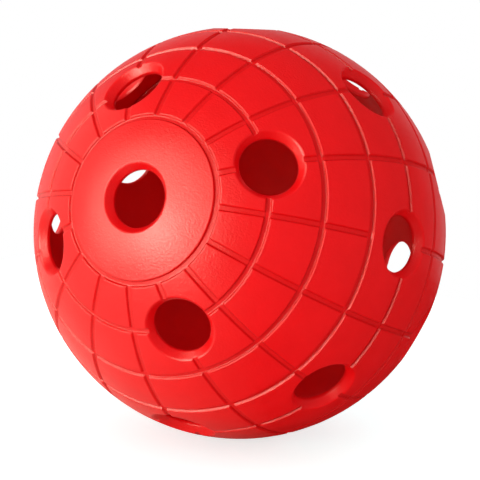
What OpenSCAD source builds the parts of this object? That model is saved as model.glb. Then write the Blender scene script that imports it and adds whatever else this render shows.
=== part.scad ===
// Floorball ball: a hollow plastic ball with flared holes all over and a grid of fine grooves.
// Two equal half shells are moulded apart and welded together at the groove on the equator.
// Millimetres, +Z up. The origin is the centre of the ball. One hole of the front outer ring
// points straight up, and the front pole faces -Y and a little upwards.

/* [Ball] */
// Outer diameter of the ball
ball_d = 72; // [68:0.5:80]
// Thickness of the moulded wall
wall_t = 1.9; // [1.7:0.1:3]

/* [Holes] */
// Diameter of the straight bore of each hole
bore_d = 9.2; // [8:0.1:9.6]
// Diameter of the flare of each hole at its wide end
flare_d = 10.8; // [10.2:0.1:11.2]
// Depth of the flare, along the hole
flare_h = 1.1; // [0.7:0.1:1.2]
// Width of the broken edge around the flare
lip_w = 0.25; // [0.1:0.05:0.4]
// Height of the broken edge around the flare
lip_h = 0.15; // [0.05:0.05:0.2]
// Number of holes in each outer ring
outer_ring_count = 8; // [6:2:10]
// Angle from the pole to the holes of the outer ring
outer_ring_angle = 75; // [72:0.5:76]
// Angle from the pole to the holes of the inner ring
inner_ring_angle = 35; // [33:0.5:37]

/* [Grooves] */
// Width of a groove at the surface of the ball
groove_w = 1.1; // [0.8:0.05:1.4]
// Width of a groove at its floor
groove_floor_w = 0.7; // [0.4:0.05:0.75]
// Depth of the grooves that run from pole to pole
meridian_depth = 0.35; // [0.2:0.01:0.4]
// Depth of the grooves that run round the ball
parallel_depth = 0.42; // [0.41:0.01:0.6]
// Grooves from pole to pole for each hole of the outer ring
meridians_per_hole = 2; // [2:2:4]
// Angle from the pole to the groove round the smooth cap
cap_groove_angle = 21.5; // [18:0.5:23]
// Angle between the other grooves that run round the ball, counted from the seam
parallel_step = 14; // [13.5:0.1:14.5]
// Number of those grooves between the seam and the cap
parallel_count = 4; // [2:1:4]

/* [Weld] */
// Radius of the bead that the weld leaves inside the ball
bead_r = 0.8; // [0.4:0.1:1.5]

/* [Output] */
// Which sub-part to draw

/* [Hidden] */
$fn = 200;
shell_color = [0.86, 0.1, 0.11];
bead_color = [0.72, 0.07, 0.08];

ball_r = ball_d / 2;
inner_r = ball_r - wall_t;

// Cutting tools reach this far past the surface that they cut
cut_over = 1;
// and this far past the seam, in degrees
seam_over = 3;

// The edge of a hole meets the surface of the ball on a circle of radius lip_r at height lip_z
bore_r = bore_d / 2;
flare_r = flare_d / 2;
lip_r = flare_r + lip_w;
lip_z = sqrt(pow(ball_r, 2) - pow(lip_r, 2));
flare_top_z = lip_z - lip_h;
flare_bottom_z = flare_top_z - flare_h;

// One outer-ring hole points straight up. Inner-ring holes stand over every other gap
top_longitude = 90;
outer_ring_step = 360 / outer_ring_count;
inner_ring_count = outer_ring_count / 2;
inner_ring_step = 360 / inner_ring_count;
inner_ring_start = top_longitude + outer_ring_step / 2;
meridian_count = outer_ring_count * meridians_per_hole;
meridian_step = 360 / meridian_count;
// The rear half is turned so that its outer-ring holes face the gaps of the front half's
rear_turn = -outer_ring_step / 2;

// Angles from the pole to all grooves that run round the half shell, the seam's own among them
seam_angle = 90;
parallel_angles = [for (i = [0 : parallel_count]) seam_angle - i * parallel_step];
groove_angles = concat(parallel_angles, [cap_groove_angle]);

// Section of a groove on the +X side of the ball, its sloping walls carried past the surface
module groove_section(depth) {
    wall_slope = (groove_w - groove_floor_w) / 2 / depth;
    over_w = groove_w / 2 + wall_slope * cut_over;
    polygon([
        [ball_r - depth, -groove_floor_w / 2],
        [ball_r + cut_over, -over_w],
        [ball_r + cut_over, over_w],
        [ball_r - depth, groove_floor_w / 2]
    ]);
}

// Section of the half shell's wall, from the seam to the pole, with the grooves that run round it
module wall_section() {
    difference() {
        intersection() {
            difference() {
                circle(r = ball_r);
                circle(r = inner_r);
            }
            square(ball_r + cut_over);
        }
        for (angle = groove_angles) {
            rotate(90 - angle) groove_section(parallel_depth);
        }
    }
}

// Cutting tool of one groove from the cap groove to the seam
module meridian_groove() {
    rotate([90, 0, 0]) {
        rotate_extrude(angle = seam_angle - cap_groove_angle + seam_over, start = -seam_over) {
            groove_section(meridian_depth);
        }
    }
}

// Cutting tool of one hole at the pole: bore, flare and broken edge
module hole() {
    lip_slope = lip_h / lip_w;
    rotate_extrude() {
        polygon([
            [0, inner_r - cut_over],
            [bore_r, inner_r - cut_over],
            [bore_r, flare_bottom_z],
            [flare_r, flare_top_z],
            [lip_r + cut_over, lip_z + lip_slope * cut_over],
            [lip_r + cut_over, ball_r + cut_over],
            [0, ball_r + cut_over]
        ]);
    }
}

// The holes of one half shell: one at the pole and two rings
module holes() {
    hole();
    for (i = [0 : inner_ring_count - 1]) {
        rotate([0, inner_ring_angle, inner_ring_start + i * inner_ring_step]) hole();
    }
    for (i = [0 : outer_ring_count - 1]) {
        rotate([0, outer_ring_angle, top_longitude + i * outer_ring_step]) hole();
    }
}

// The dome of one half, with its grid of grooves
module grooved_dome() {
    difference() {
        rotate_extrude() wall_section();
        for (i = [0 : meridian_count - 1]) {
            rotate([0, 0, top_longitude + i * meridian_step]) meridian_groove();
        }
    }
}

// One moulded half, its pole up and its weld face on the plane of the seam
module half_shell() {
    difference() {
        grooved_dome();
        holes();
    }
}

// Turns the ball from pole up to the way it lies, one outer-ring hole straight up
module lie() {
    rotate([outer_ring_angle, 0, 0]) children();
}

module front_half_shell() {
    color(shell_color) lie() half_shell();
}

// The other half from the same mould, its grooves in line with the front half's across the seam
module rear_half_shell() {
    color(shell_color) lie() rotate([0, 0, rear_turn]) mirror([0, 0, 1]) half_shell();
}

// Melt pressed inwards along the seam: a half-round ring on the inner surface of both halves
module weld_bead() {
    color(bead_color) lie() rotate_extrude() {
        intersection() {
            circle(r = inner_r);
            translate([inner_r, 0]) circle(r = bead_r);
        }
    }
}

front_half_shell();
rear_half_shell();
weld_bead();
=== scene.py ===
"""Looks of the floorball ball: satin red polyethylene, soft studio light, white background."""

import math

import bpy
from mathutils import Matrix, Vector


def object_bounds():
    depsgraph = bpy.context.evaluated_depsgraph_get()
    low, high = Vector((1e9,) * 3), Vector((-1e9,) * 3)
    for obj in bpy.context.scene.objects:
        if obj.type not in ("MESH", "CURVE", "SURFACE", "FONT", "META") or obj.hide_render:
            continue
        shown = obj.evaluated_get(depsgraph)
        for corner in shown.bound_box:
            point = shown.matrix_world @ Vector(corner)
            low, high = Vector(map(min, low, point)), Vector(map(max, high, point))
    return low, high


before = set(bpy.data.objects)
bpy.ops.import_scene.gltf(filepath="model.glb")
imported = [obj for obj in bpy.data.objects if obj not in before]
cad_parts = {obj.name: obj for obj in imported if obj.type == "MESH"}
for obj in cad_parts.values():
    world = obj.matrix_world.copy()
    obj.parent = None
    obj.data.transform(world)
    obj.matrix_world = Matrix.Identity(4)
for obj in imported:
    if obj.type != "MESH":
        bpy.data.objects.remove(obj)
cad_low, cad_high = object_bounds()

MM = 0.001

# Camera, from the fit of the grooves and holes in the photograph. Angles in degrees
CAMERA_AZIMUTH = 28.19
CAMERA_ELEVATION = 8.21
CAMERA_ROLL = 1.84
CAMERA_DISTANCE = 234 * MM
CAMERA_LENS = 99.34
CAMERA_SENSOR = 36.0
CAMERA_CLIP = 10 * MM
AIM_BELOW_CENTRE = 1.24 * MM
AIM_RIGHT_OF_CENTRE = 0.09 * MM

# Colours, linear
RED = (0.9, 0.0015, 0.004, 1)
RED_DEEP = (0.84, 0.001, 0.003, 1)
RED_WELD = (0.62, 0.001, 0.003, 1)
# Painted shade: the colour that grooves and corners darken towards
RED_PAINTED_SHADE = (0.56, 0.0, 0.0, 1)
WHITE = (1, 1, 1, 1)
PAPER = (0.88, 0.88, 0.88, 1)
PAPER_SHADE = (0.5, 0.8, 0.8, 1)
# Tint of the painted light that the floor shows in reflections
PAPER_PAINTED_LIGHT = (1.0, 0.95, 0.8, 1)
WARM_LAMP = (1.0, 0.95, 0.8)
WARM_SHEEN = (1.0, 0.95, 0.75)

# Surface of the plastic: noise scales per metre, height and strength of its relief, and the reach of its
# painted shade. Grooves and corners get painted shade: full below openness SHUT, fading out towards OPEN
MOTTLE_SCALE = 190.0
SHEEN_SCALE = 420.0
WAVE_SCALE = 120.0
WAVE_HEIGHT = 0.1 * MM
WAVE_STRENGTH = 0.25
TOOTH_SCALE = 3200.0
TOOTH_HEIGHT = 0.07 * MM
TOOTH_STRENGTH = 0.7
PAINTED_SHADE_REACH = 0.9 * MM
SHUT = 0.5
OPEN = 0.95
GLOW_DEPTH = 2.5 * MM

# Floor: half width, glow to the camera, and the painted light that brightens its reflection towards the lit
# side
FLOOR_HALF = 150 * MM
PAPER_GLOW = 0.69
LIT_SIDE = -62
LIT_FROM = -8 * MM
LIT_TO = 40 * MM
UNLIT_PAPER = 0.03
LIT_PAPER = 1.3

# Room: fill on matt surfaces, and its brightness in reflections, which rises towards the backdrop
FILL = 0.76
DIM_ROOM = 0.06
BACKDROP = 0.9
BACKDROP_AZIMUTH = 208
BACKDROP_ELEVATION = -8
BACKDROP_EDGE = 0.6


def direction(azimuth, elevation):
    """Unit vector from the ball to a camera or lamp at these angles."""
    a, e = math.radians(azimuth), math.radians(elevation)
    return Vector((math.sin(a) * math.cos(e), -math.cos(a) * math.cos(e), math.sin(e)))


def turned_to(place, target, roll=0.0):
    """Matrix of a camera or lamp at place that looks at target."""
    turn = (target - place).to_track_quat("-Z", "Y").to_matrix().to_4x4()
    return Matrix.Translation(place) @ turn @ Matrix.Rotation(math.radians(roll), 4, "Z")


class Nodes:
    """Builds the node tree of one material or of the world."""

    def __init__(self, owner, output):
        owner.use_nodes = True
        self.tree = owner.node_tree
        self.tree.nodes.clear()
        self.output = self.add(output)

    def add(self, kind, values=None, **settings):
        node = self.tree.nodes.new(kind)
        for key, value in settings.items():
            setattr(node, key, value)
        for key, value in (values or {}).items():
            node.inputs[key].default_value = value
        return node

    def link(self, source, target):
        self.tree.links.new(source, target)

    def surface(self, shader):
        self.link(shader, self.output.inputs["Surface"])

    def noise(self, scale, detail, roughness=0.5):
        coords = self.add("ShaderNodeTexCoord")
        noise = self.add("ShaderNodeTexNoise", {"Scale": scale, "Detail": detail, "Roughness": roughness})
        self.link(coords.outputs["Object"], noise.inputs["Vector"])
        return noise.outputs["Fac"]

    def along(self, coordinate, axis):
        """How far a texture coordinate lies along a unit vector."""
        coords = self.add("ShaderNodeTexCoord")
        node = self.add("ShaderNodeVectorMath", operation="DOT_PRODUCT")
        node.inputs[1].default_value = axis
        self.link(coords.outputs[coordinate], node.inputs[0])
        return node.outputs["Value"]

    def openness(self, reach):
        """1 on open surfaces, and less in corners and grooves narrower than reach."""
        node = self.add("ShaderNodeAmbientOcclusion", {"Distance": reach}, samples=8, only_local=True)
        return node.outputs["AO"]

    def spread(self, source, low, high, from_low=0.3, from_high=0.7):
        node = self.add("ShaderNodeMapRange", {
            "From Min": from_low, "From Max": from_high, "To Min": low, "To Max": high})
        self.link(source, node.inputs["Value"])
        return node.outputs["Result"]

    def mixed(self, factor, first, second):
        """Colour between first and second, where second may be another node's output."""
        node = self.add("ShaderNodeMix", data_type="RGBA")
        self.link(factor, node.inputs["Factor"])
        node.inputs["A"].default_value = first
        if isinstance(second, bpy.types.NodeSocket):
            self.link(second, node.inputs["B"])
        else:
            node.inputs["B"].default_value = second
        return node.outputs["Result"]

    def bump(self, height, strength, distance, normal):
        node = self.add("ShaderNodeBump", {"Strength": strength, "Distance": distance})
        self.link(height, node.inputs["Height"])
        self.link(normal, node.inputs["Normal"])
        return node.outputs["Normal"]

    def glow(self, kind, colour, strength):
        """Emission or background whose strength is a number or another node's output."""
        node = self.add(kind, {"Color": colour})
        if isinstance(strength, bpy.types.NodeSocket):
            self.link(strength, node.inputs["Strength"])
        else:
            node.inputs["Strength"].default_value = strength
        return node.outputs[0]

    def by_ray(self, ray, others, chosen):
        """One shader for the named kind of ray and another for all others."""
        path = self.add("ShaderNodeLightPath")
        node = self.add("ShaderNodeMixShader")
        self.link(path.outputs[ray], node.inputs["Fac"])
        self.link(others, node.inputs[1])
        self.link(chosen, node.inputs[2])
        return node.outputs["Shader"]


# Materials
def polyethylene(name, light, deep, rough_low, rough_high, edge_round):
    """Moulded satin polyethylene: faint mottling, painted shade in grooves and corners, fine tooth and
    rounded edges.
    """
    material = bpy.data.materials.new(name)
    nodes = Nodes(material, "ShaderNodeOutputMaterial")
    mottling = nodes.spread(nodes.noise(MOTTLE_SCALE, detail=4.0, roughness=0.6), 0.0, 1.0)
    mottled = nodes.mixed(mottling, light, deep)
    # Painted shade: the base colour darkens where the surface is less open, in grooves and corners
    unshaded = nodes.spread(nodes.openness(PAINTED_SHADE_REACH), 0.0, 1.0, SHUT, OPEN)
    rounded = nodes.add("ShaderNodeBevel", {"Radius": edge_round}, samples=6)
    wave_noise = nodes.noise(WAVE_SCALE, detail=2.0)
    waves = nodes.bump(wave_noise, WAVE_STRENGTH, WAVE_HEIGHT, rounded.outputs["Normal"])
    tooth_noise = nodes.noise(TOOTH_SCALE, detail=3.0)
    tooth = nodes.bump(tooth_noise, TOOTH_STRENGTH, TOOTH_HEIGHT, waves)
    shader = nodes.add("ShaderNodeBsdfPrincipled", {
        "IOR": 1.5, "Specular IOR Level": 0.03,
        "Coat Weight": 0.25, "Coat Roughness": 0.24, "Coat IOR": 2.0,
        "Subsurface Weight": 0.25, "Subsurface Scale": GLOW_DEPTH, "Subsurface Radius": (1.0, 0.06, 0.05)})
    # Base colour with painted shade in grooves and corners
    nodes.link(nodes.mixed(unshaded, RED_PAINTED_SHADE, mottled), shader.inputs["Base Color"])
    roughness = nodes.spread(nodes.noise(SHEEN_SCALE, detail=3.0), rough_low, rough_high)
    nodes.link(roughness, shader.inputs["Roughness"])
    nodes.link(tooth, shader.inputs["Normal"])
    nodes.link(tooth, shader.inputs["Coat Normal"])
    nodes.surface(shader.outputs["BSDF"])
    return material


def dress(name, material):
    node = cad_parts[name]
    node.data.materials.clear()
    node.data.materials.append(material)


shell = polyethylene("red_polyethylene", RED, RED_DEEP,
                     rough_low=0.44, rough_high=0.52, edge_round=0.3 * MM)
weld = polyethylene("weld_polyethylene", RED_WELD, RED_DEEP,
                    rough_low=0.3, rough_high=0.4, edge_round=0.1 * MM)
dress("front_half_shell", shell)
dress("rear_half_shell", shell)
dress("weld_bead", weld)


# Floor and background
def floor_material():
    """White paper: a faint shadow to the camera, and in reflections a painted glow, brighter on the lit
    side.
    """
    material = bpy.data.materials.new("floor")
    nodes = Nodes(material, "ShaderNodeOutputMaterial")
    paper = nodes.add("ShaderNodeBsdfDiffuse", {"Color": PAPER})

    # Painted light: in reflections the floor glows instead of being lit, more strongly towards the lit side
    towards_light = nodes.along("Object", direction(LIT_SIDE, 0))
    brightness = nodes.spread(towards_light, UNLIT_PAPER, LIT_PAPER, LIT_FROM, LIT_TO)
    mirrored = nodes.glow("ShaderNodeEmission", PAPER_PAINTED_LIGHT, brightness)

    shade = nodes.add("ShaderNodeBsdfDiffuse", {"Color": PAPER_SHADE})
    seen = nodes.add("ShaderNodeAddShader")
    nodes.link(shade.outputs["BSDF"], seen.inputs[0])
    nodes.link(nodes.glow("ShaderNodeEmission", WHITE, PAPER_GLOW), seen.inputs[1])

    unseen = nodes.by_ray("Is Glossy Ray", paper.outputs["BSDF"], mirrored)
    nodes.surface(nodes.by_ray("Is Camera Ray", unseen, seen.outputs["Shader"]))
    return material


corners = [(-1, -1), (1, -1), (1, 1), (-1, 1)]
floor_points = [(x * FLOOR_HALF, y * FLOOR_HALF, cad_low.z) for x, y in corners]
floor_mesh = bpy.data.meshes.new("floor")
floor_mesh.from_pydata(floor_points, [], [(0, 1, 2, 3)])
floor_mesh.materials.append(floor_material())
floor = bpy.data.objects.new("floor", floor_mesh)
bpy.context.scene.collection.objects.link(floor)


def white_world():
    """White to the camera, an even fill on matt surfaces, and a dim room in reflections.

    The room brightens towards the white backdrop behind the ball.
    """
    world = bpy.data.worlds.new("studio")
    bpy.context.scene.world = world
    nodes = Nodes(world, "ShaderNodeOutputWorld")
    behind = nodes.along("Generated", direction(BACKDROP_AZIMUTH, BACKDROP_ELEVATION))
    brightness = nodes.spread(behind, DIM_ROOM, BACKDROP, BACKDROP_EDGE, 1.0)
    mirrored = nodes.glow("ShaderNodeBackground", WHITE, brightness)
    fill = nodes.glow("ShaderNodeBackground", WHITE, FILL)
    white = nodes.glow("ShaderNodeBackground", WHITE, 1.0)
    nodes.surface(nodes.by_ray("Is Camera Ray", nodes.by_ray("Is Glossy Ray", fill, mirrored), white))


white_world()

# Camera
view_back = direction(CAMERA_AZIMUTH, CAMERA_ELEVATION)
view_axes = (-view_back).to_track_quat("-Z", "Y").to_matrix()
aim = view_axes @ Vector((AIM_RIGHT_OF_CENTRE, -AIM_BELOW_CENTRE, 0))
camera_data = bpy.data.cameras.new("camera")
camera_data.lens = CAMERA_LENS
camera_data.sensor_width = CAMERA_SENSOR
camera_data.clip_start = CAMERA_CLIP
camera = bpy.data.objects.new("camera", camera_data)
bpy.context.scene.collection.objects.link(camera)
camera.matrix_world = turned_to(aim + view_back * CAMERA_DISTANCE, aim, CAMERA_ROLL)
bpy.context.scene.camera = camera


# Lights
def softbox(name, azimuth, elevation, distance, width, watts, colour, sheen_only=False):
    """Round softbox that faces the ball. Angles in degrees, distance and width in metres."""
    lamp = bpy.data.lights.new(name, "AREA")
    lamp.shape = "DISK"
    lamp.size = width
    lamp.energy = watts
    lamp.color = colour
    lamp_object = bpy.data.objects.new(name, lamp)
    bpy.context.scene.collection.objects.link(lamp_object)
    lamp_object.matrix_world = turned_to(direction(azimuth, elevation) * distance, Vector())
    lamp_object.visible_diffuse = not sheen_only


softbox("key_softbox", azimuth=-16, elevation=6, distance=0.9, width=0.4, watts=4.1, colour=WARM_LAMP)
softbox("sheen_softbox", azimuth=-22, elevation=12, distance=0.85, width=1.2, watts=20.5, colour=WARM_SHEEN,
        sheen_only=True)
softbox("rim_softbox", azimuth=-80, elevation=4, distance=0.85, width=1.4, watts=4.5, colour=WARM_LAMP,
        sheen_only=True)

bpy.context.scene.view_settings.view_transform = "Standard"
